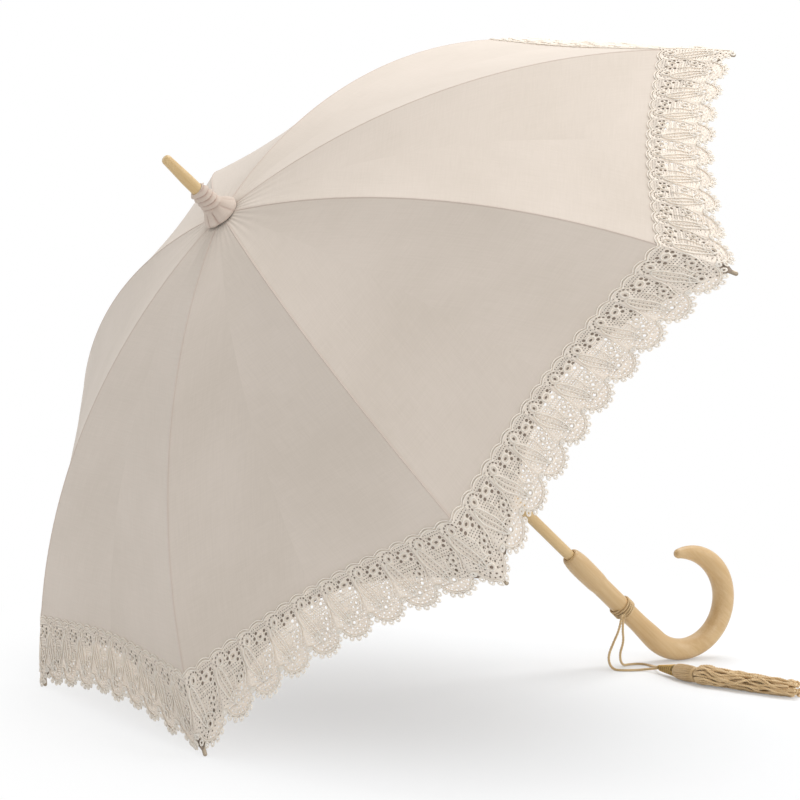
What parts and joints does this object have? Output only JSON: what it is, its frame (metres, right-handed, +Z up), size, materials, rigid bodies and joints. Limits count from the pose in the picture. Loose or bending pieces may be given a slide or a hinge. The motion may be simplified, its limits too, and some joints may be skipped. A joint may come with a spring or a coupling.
{
  "type": "lace parasol",
  "caption": "Open parasol with lace-edged cloth canopy on folding ribs, a sliding runner, a wooden stick with crook handle and a tassel on a cord.",
  "frame": {"origin": "floor level under the middle of the bounding box, taken without the tassel and its cord", "axes": "+Z up from the floor, +X towards the crook handle, +Y across the canopy; the crook lies in the plane Y = 0"},
  "size_m": [0.6386, 0.7572, 0.5662],
  "materials": {
    "wood": "clear satin maple",
    "ferrule_wood": "clear satin",
    "cloth": "plain weave cotton",
    "lace": "cotton lace",
    "steel": "nickel plated",
    "brass": "satin",
    "tip": "dull",
    "cord": "twisted rayon",
    "gold_wire": "wound wire"
  },
  "bodies": {
    "shaft": {"shaft": "wood", "ferrule": "ferrule_wood", "top_wrap": "cloth", "top_ruffle": "cloth", "top_notch": "brass", "notch_pin": "steel", "notch_wire": "steel", "handle": "wood", "cord_wrap": "cord", "tassel_cord_a": "cord", "tassel_cord_b": "cord", "tassel_cap": "gold_wire", "tassel_head": "cord", "tassel_skirt": "cord"},
    "rib_1": {"rib_1": "steel", "rib_tip_1": "tip", "canopy_1": "cloth", "lace_1": "lace"},
    "stretcher_1": {"stretcher_1": "steel"},
    "rib_2": {"rib_2": "steel", "rib_tip_2": "tip", "canopy_2": "cloth", "lace_2": "lace"},
    "stretcher_2": {"stretcher_2": "steel"},
    "rib_3": {"rib_3": "steel", "rib_tip_3": "tip", "canopy_3": "cloth", "lace_3": "lace"},
    "stretcher_3": {"stretcher_3": "steel"},
    "rib_4": {"rib_4": "steel", "rib_tip_4": "tip", "canopy_4": "cloth", "lace_4": "lace"},
    "stretcher_4": {"stretcher_4": "steel"},
    "rib_5": {"rib_5": "steel", "rib_tip_5": "tip", "canopy_5": "cloth", "lace_5": "lace"},
    "stretcher_5": {"stretcher_5": "steel"},
    "rib_6": {"rib_6": "steel", "rib_tip_6": "tip", "canopy_6": "cloth", "lace_6": "lace"},
    "stretcher_6": {"stretcher_6": "steel"},
    "rib_7": {"rib_7": "steel", "rib_tip_7": "tip", "canopy_7": "cloth", "lace_7": "lace"},
    "stretcher_7": {"stretcher_7": "steel"},
    "rib_8": {"rib_8": "steel", "rib_tip_8": "tip", "canopy_8": "cloth", "lace_8": "lace"},
    "stretcher_8": {"stretcher_8": "steel"},
    "runner": {"runner": "brass", "runner_wire": "steel"},
    "top_spring": {"top_spring": "steel"},
    "bottom_spring": {"bottom_spring": "steel"}
  },
  "joints": [
    {"name": "rib_1_fold", "type": "hinge", "parent": "shaft", "child": "rib_1", "pos_m": [-0.21677, 0.00344, 0.41746], "axis": [-0.2564, -0.9239, -0.2841], "range_deg": [0, 60], "deforming": ["canopy_1", "lace_1", "top_spring", "bottom_spring"]},
    {"name": "stretcher_1_fold", "type": "hinge", "parent": "rib_1", "child": "stretcher_1", "pos_m": [-0.29742, 0.07941, 0.24319], "axis": [-0.2564, -0.9239, -0.2841], "range_deg": [-120, 0]},
    {"name": "rib_2_fold", "type": "hinge", "parent": "shaft", "child": "rib_2", "pos_m": [-0.21677, -0.00344, 0.41746], "axis": [0.2564, -0.9239, 0.2841], "range_deg": [0, 60], "deforming": ["canopy_2", "lace_2"]},
    {"name": "stretcher_2_fold", "type": "hinge", "parent": "rib_2", "child": "stretcher_2", "pos_m": [-0.29742, -0.07941, 0.24319], "axis": [0.2564, -0.9239, 0.2841], "range_deg": [-120, 0]},
    {"name": "rib_3_fold", "type": "hinge", "parent": "shaft", "child": "rib_3", "pos_m": [-0.21351, -0.00831, 0.42108], "axis": [0.6191, -0.3827, 0.6858], "range_deg": [0, 60], "deforming": ["canopy_3", "lace_3"]},
    {"name": "stretcher_3_fold", "type": "hinge", "parent": "rib_3", "child": "stretcher_3", "pos_m": [-0.22217, -0.19172, 0.32655], "axis": [0.6191, -0.3827, 0.6858], "range_deg": [-120, 0]},
    {"name": "rib_4_fold", "type": "hinge", "parent": "shaft", "child": "rib_4", "pos_m": [-0.20889, -0.00831, 0.42619], "axis": [0.6191, 0.3827, 0.6858], "range_deg": [0, 60], "deforming": ["canopy_4", "lace_4"]},
    {"name": "stretcher_4_fold", "type": "hinge", "parent": "rib_4", "child": "stretcher_4", "pos_m": [-0.11574, -0.19172, 0.44445], "axis": [0.6191, 0.3827, 0.6858], "range_deg": [-120, 0]},
    {"name": "rib_5_fold", "type": "hinge", "parent": "shaft", "child": "rib_5", "pos_m": [-0.20563, -0.00344, 0.42981], "axis": [0.2564, 0.9239, 0.2841], "range_deg": [0, 60], "deforming": ["canopy_5", "lace_5"]},
    {"name": "stretcher_5_fold", "type": "hinge", "parent": "rib_5", "child": "stretcher_5", "pos_m": [-0.04049, -0.07941, 0.52782], "axis": [0.2564, 0.9239, 0.2841], "range_deg": [-120, 0]},
    {"name": "rib_6_fold", "type": "hinge", "parent": "shaft", "child": "rib_6", "pos_m": [-0.20563, 0.00344, 0.42981], "axis": [-0.2564, 0.9239, -0.2841], "range_deg": [0, 60], "deforming": ["canopy_6", "lace_6"]},
    {"name": "stretcher_6_fold", "type": "hinge", "parent": "rib_6", "child": "stretcher_6", "pos_m": [-0.04049, 0.07941, 0.52782], "axis": [-0.2564, 0.9239, -0.2841], "range_deg": [-120, 0]},
    {"name": "rib_7_fold", "type": "hinge", "parent": "shaft", "child": "rib_7", "pos_m": [-0.20889, 0.00831, 0.42619], "axis": [-0.6191, 0.3827, -0.6858], "range_deg": [0, 60], "deforming": ["canopy_7", "lace_7"]},
    {"name": "stretcher_7_fold", "type": "hinge", "parent": "rib_7", "child": "stretcher_7", "pos_m": [-0.11574, 0.19172, 0.44445], "axis": [-0.6191, 0.3827, -0.6858], "range_deg": [-120, 0]},
    {"name": "rib_8_fold", "type": "hinge", "parent": "shaft", "child": "rib_8", "pos_m": [-0.21351, 0.00831, 0.42108], "axis": [-0.6191, -0.3827, -0.6858], "range_deg": [0, 60], "deforming": ["canopy_8", "lace_8"]},
    {"name": "stretcher_8_fold", "type": "hinge", "parent": "rib_8", "child": "stretcher_8", "pos_m": [-0.22217, 0.19172, 0.32655], "axis": [-0.6191, -0.3827, -0.6858], "range_deg": [-120, 0]},
    {"name": "runner_hinge", "type": "hinge", "parent": "stretcher_1", "child": "runner", "pos_m": [-0.13228, 0.00344, 0.3412], "axis": [-0.2564, -0.9239, -0.2841], "range_deg": [0, 60]},
    {"name": "top_spring_press", "type": "hinge", "parent": "shaft", "child": "top_spring", "pos_m": [-0.06324, 0.002, 0.29008], "axis": [0.6701, 0, 0.7423], "range_deg": [0, 4.6], "stiffness_Nm_per_rad": 0.05, "springref_deg": -5.73},
    {"name": "bottom_spring_press", "type": "hinge", "parent": "shaft", "child": "bottom_spring", "pos_m": [0.08739, 0.002, 0.1541], "axis": [-0.6701, 0, -0.7423], "range_deg": [0, 5.6], "stiffness_Nm_per_rad": 0.05, "springref_deg": -5.73}
  ],
  "couplings": [
    {"joint": "stretcher_1_fold", "follows": "rib_1_fold", "ratio": -2},
    {"joint": "rib_2_fold", "follows": "rib_1_fold", "ratio": 1},
    {"joint": "stretcher_2_fold", "follows": "rib_1_fold", "ratio": -2},
    {"joint": "rib_3_fold", "follows": "rib_1_fold", "ratio": 1},
    {"joint": "stretcher_3_fold", "follows": "rib_1_fold", "ratio": -2},
    {"joint": "rib_4_fold", "follows": "rib_1_fold", "ratio": 1},
    {"joint": "stretcher_4_fold", "follows": "rib_1_fold", "ratio": -2},
    {"joint": "rib_5_fold", "follows": "rib_1_fold", "ratio": 1},
    {"joint": "stretcher_5_fold", "follows": "rib_1_fold", "ratio": -2},
    {"joint": "rib_6_fold", "follows": "rib_1_fold", "ratio": 1},
    {"joint": "stretcher_6_fold", "follows": "rib_1_fold", "ratio": -2},
    {"joint": "rib_7_fold", "follows": "rib_1_fold", "ratio": 1},
    {"joint": "stretcher_7_fold", "follows": "rib_1_fold", "ratio": -2},
    {"joint": "rib_8_fold", "follows": "rib_1_fold", "ratio": 1},
    {"joint": "stretcher_8_fold", "follows": "rib_1_fold", "ratio": -2},
    {"joint": "runner_hinge", "follows": "rib_1_fold", "ratio": 1}
  ]
}
